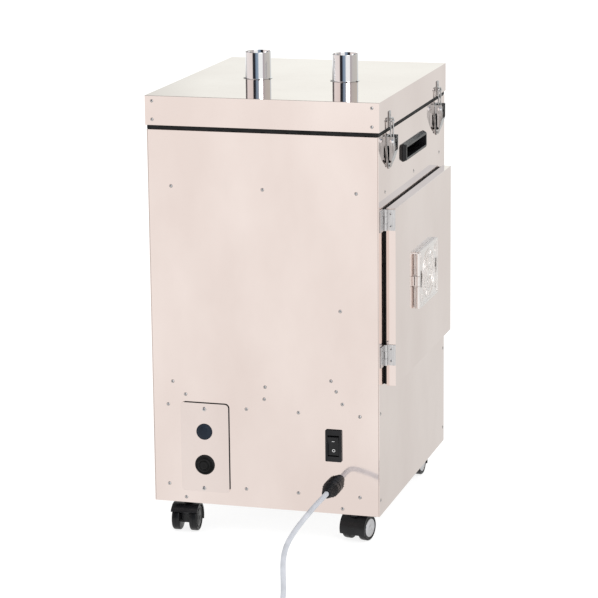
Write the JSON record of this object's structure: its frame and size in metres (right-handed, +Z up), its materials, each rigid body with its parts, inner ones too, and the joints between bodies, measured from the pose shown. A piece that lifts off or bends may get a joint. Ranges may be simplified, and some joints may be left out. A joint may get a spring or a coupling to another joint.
{
  "type": "electric cabinet smoker",
  "caption": "Polished sheet cabinet smoker on casters, with a hinged lid carrying chimneys, a gasketed door with a vent flap, toggle latches, racks, a heater and a mains lead.",
  "frame": {"origin": "on the floor, under the centre of the cabinet's sheet-metal box", "axes": "+Z up; -Y is the front with the door; +X is to the right of someone who faces the door; the switch and the mains lead are on the -X side"},
  "size_m": [1.0712, 0.5367, 0.9071],
  "materials": {
    "polished_sheet": "mirror-polished stainless sheet",
    "satin_sheet": "satin stainless sheet",
    "heater_tube": "heat-dulled tube",
    "bright_wire": "bright wire",
    "chimney_tube": "bright polished tube",
    "cast_plate": "bright cast relief",
    "hinge_metal": "satin",
    "latch_metal": "bright",
    "black_plastic": "moulded, semi-gloss",
    "black_rubber": "moulded, dull",
    "caster_wheel": "moulded wheel with a grey hub cap",
    "cord_sheath": "smooth sheath"
  },
  "bodies": {
    "cabinet": {"front_panel": "polished_sheet", "rear_panel": "polished_sheet", "left_panel": "polished_sheet", "right_panel": "polished_sheet", "base_pan": "satin_sheet", "chamber_floor": "satin_sheet", "upper_support_ring": "satin_sheet", "left_tray_rail": "satin_sheet", "right_tray_rail": "satin_sheet", "drip_pan": "satin_sheet", "wood_chip_tray": "satin_sheet", "heating_element": "heater_tube", "rack_frame": "satin_sheet", "lower_wire_rack": "bright_wire", "upper_wire_rack": "bright_wire", "temperature_probe": "heater_tube", "control_box": "black_plastic", "upper_blanking_plug": "black_rubber", "lower_cable_plug": "black_rubber", "service_cover": "polished_sheet", "switch_housing": "black_plastic", "cable_gland": "black_plastic", "mains_cord": "cord_sheath", "mains_cord_coil": "cord_sheath", "mains_plug": "cord_sheath", "pocket_handle": "black_plastic", "left_latch_base": "latch_metal", "right_latch_base": "latch_metal", "lower_door_hinge_body_leaf": "hinge_metal", "upper_door_hinge_body_leaf": "hinge_metal", "left_lid_hinge_body_leaf": "hinge_metal", "right_lid_hinge_body_leaf": "hinge_metal"},
    "door": {"door_panel": "polished_sheet", "door_liner": "satin_sheet", "door_gasket": "black_rubber", "vent_frame": "cast_plate", "lower_door_hinge_door_leaf": "hinge_metal", "upper_door_hinge_door_leaf": "hinge_metal"},
    "vent_flap": {"vent_flap": "cast_plate"},
    "lid": {"lid_shell": "polished_sheet", "lid_gasket": "black_rubber", "front_chimney": "chimney_tube", "rear_chimney": "chimney_tube", "left_latch_keeper": "latch_metal", "right_latch_keeper": "latch_metal", "left_lid_hinge_lid_leaf": "hinge_metal", "right_lid_hinge_lid_leaf": "hinge_metal"},
    "power_rocker": {"switch_rocker": "black_plastic"},
    "left_latch_lever": {"left_latch_lever": "latch_metal"},
    "left_latch_bail": {"left_latch_bail": "latch_metal"},
    "right_latch_lever": {"right_latch_lever": "latch_metal"},
    "right_latch_bail": {"right_latch_bail": "latch_metal"},
    "front_left_caster_fork": {"front_left_caster_hood": "black_plastic"},
    "front_left_caster_wheels": {"front_left_caster_wheels": "caster_wheel"},
    "rear_left_caster_fork": {"rear_left_caster_hood": "black_plastic"},
    "rear_left_caster_wheels": {"rear_left_caster_wheels": "caster_wheel"},
    "front_right_caster_fork": {"front_right_caster_hood": "black_plastic"},
    "front_right_caster_wheels": {"front_right_caster_wheels": "caster_wheel"},
    "rear_right_caster_fork": {"rear_right_caster_hood": "black_plastic"},
    "rear_right_caster_wheels": {"rear_right_caster_wheels": "caster_wheel"}
  },
  "joints": [
    {"name": "door_hinge", "type": "hinge", "parent": "cabinet", "child": "door", "pos_m": [-0.2356, -0.229, 0.4815], "axis": [0, 0, -1], "range_deg": [0, 100]},
    {"name": "vent_flap_hinge", "type": "hinge", "parent": "door", "child": "vent_flap", "pos_m": [-0.0802, -0.254, 0.481], "axis": [0, 0, -1], "range_deg": [0, 150]},
    {"name": "lid_hinge", "type": "hinge", "parent": "cabinet", "child": "lid", "pos_m": [0, 0.2312, 0.795], "axis": [-1, 0, 0], "range_deg": [0, 85]},
    {"name": "left_latch_lever_pivot", "type": "hinge", "parent": "cabinet", "child": "left_latch_lever", "pos_m": [-0.196, -0.2358, 0.775], "axis": [-1, 0, 0], "range_deg": [0, 120]},
    {"name": "left_latch_bail_pivot", "type": "hinge", "parent": "left_latch_lever", "child": "left_latch_bail", "pos_m": [-0.196, -0.232, 0.7635], "axis": [-1, 0, 0], "range_deg": [-120, 0]},
    {"name": "right_latch_lever_pivot", "type": "hinge", "parent": "cabinet", "child": "right_latch_lever", "pos_m": [0.196, -0.2358, 0.775], "axis": [-1, 0, 0], "range_deg": [0, 120]},
    {"name": "right_latch_bail_pivot", "type": "hinge", "parent": "right_latch_lever", "child": "right_latch_bail", "pos_m": [0.196, -0.232, 0.7635], "axis": [-1, 0, 0], "range_deg": [-120, 0]},
    {"name": "power_rocker_tilt", "type": "hinge", "parent": "cabinet", "child": "power_rocker", "pos_m": [-0.2715, -0.1358, 0.197], "axis": [0, 1, 0], "range_deg": [0, 14]},
    {"name": "front_left_caster_swivel", "type": "hinge", "parent": "cabinet", "child": "front_left_caster_fork", "pos_m": [-0.236, -0.168, 0.058], "axis": [0, 0, 1], "continuous": true},
    {"name": "front_left_caster_spin", "type": "hinge", "parent": "front_left_caster_fork", "child": "front_left_caster_wheels", "pos_m": [-0.22233, -0.17103, 0.0252], "axis": [0.2164, 0.9763, 0], "continuous": true},
    {"name": "rear_left_caster_swivel", "type": "hinge", "parent": "cabinet", "child": "rear_left_caster_fork", "pos_m": [-0.236, 0.168, 0.058], "axis": [0, 0, 1], "continuous": true},
    {"name": "rear_left_caster_spin", "type": "hinge", "parent": "rear_left_caster_fork", "child": "rear_left_caster_wheels", "pos_m": [-0.24998, 0.16727, 0.0252], "axis": [0.0523, -0.9986, 0], "continuous": true},
    {"name": "front_right_caster_swivel", "type": "hinge", "parent": "cabinet", "child": "front_right_caster_fork", "pos_m": [0.236, -0.168, 0.058], "axis": [0, 0, 1], "continuous": true},
    {"name": "front_right_caster_spin", "type": "hinge", "parent": "front_right_caster_fork", "child": "front_right_caster_wheels", "pos_m": [0.22203, -0.16702, 0.0252], "axis": [-0.0698, -0.9976, 0], "continuous": true},
    {"name": "rear_right_caster_swivel", "type": "hinge", "parent": "cabinet", "child": "rear_right_caster_fork", "pos_m": [0.236, 0.168, 0.058], "axis": [0, 0, 1], "continuous": true},
    {"name": "rear_right_caster_spin", "type": "hinge", "parent": "rear_right_caster_fork", "child": "rear_right_caster_wheels", "pos_m": [0.22364, 0.17457, 0.0252], "axis": [-0.4695, -0.8829, 0], "continuous": true}
  ],
  "couplings": [
    {"joint": "left_latch_bail_pivot", "follows": "left_latch_lever_pivot", "ratio": -1},
    {"joint": "right_latch_bail_pivot", "follows": "right_latch_lever_pivot", "ratio": -1}
  ]
}
